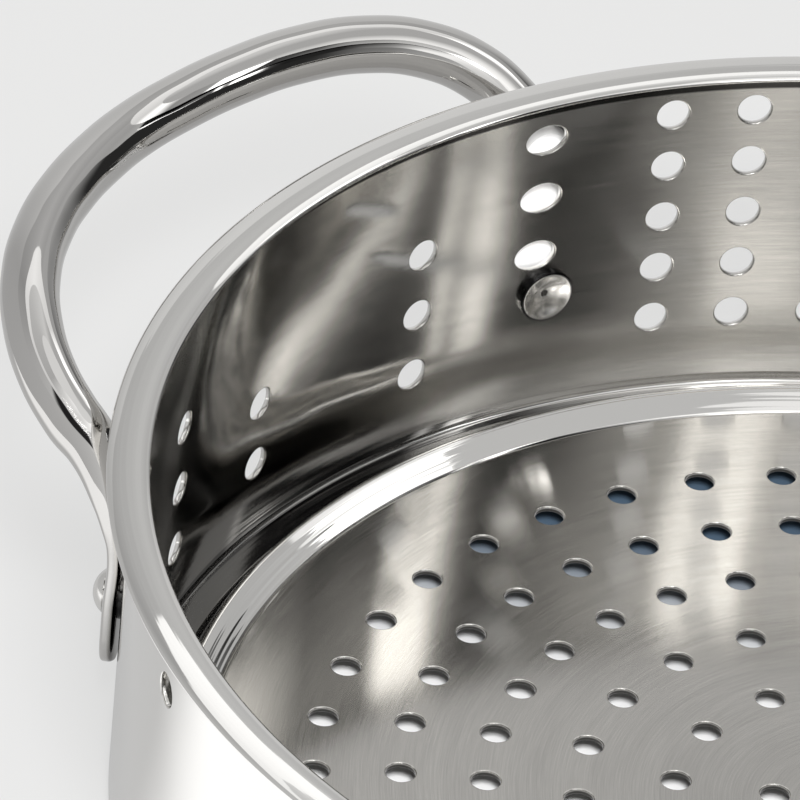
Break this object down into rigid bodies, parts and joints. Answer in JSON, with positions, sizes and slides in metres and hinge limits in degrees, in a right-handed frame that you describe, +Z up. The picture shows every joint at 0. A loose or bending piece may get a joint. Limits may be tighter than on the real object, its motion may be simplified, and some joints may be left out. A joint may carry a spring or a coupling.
{
  "type": "deep fry pot basket",
  "caption": "Round shallow stainless fry basket for a deep fry pot, with perforated wall and floor, rolled rim and riveted tube loop handles, for draining fried food.",
  "frame": {"origin": "centre of the flat foot ring, on the surface that the basket stands on", "axes": "+Z up along the basket axis, +X along the line through the two handles, +Y to the rear"},
  "size_m": [0.3144, 0.2494, 0.0695],
  "materials": {
    "wall_steel": "satin stainless steel, brushed round the wall, with a polished rim",
    "floor_steel": "satin stainless steel, brushed round the floor, with a polished cove",
    "handle_steel": "mirror polished stainless steel tube",
    "rivet_steel": "polished stainless steel"
  },
  "bodies": {
    "root": {"basket_wall": "wall_steel", "basket_floor": "floor_steel", "handle_left": "handle_steel", "handle_right": "handle_steel", "rivet_left_front": "rivet_steel", "rivet_left_rear": "rivet_steel", "rivet_right_front": "rivet_steel", "rivet_right_rear": "rivet_steel"}
  },
  "joints": []
}
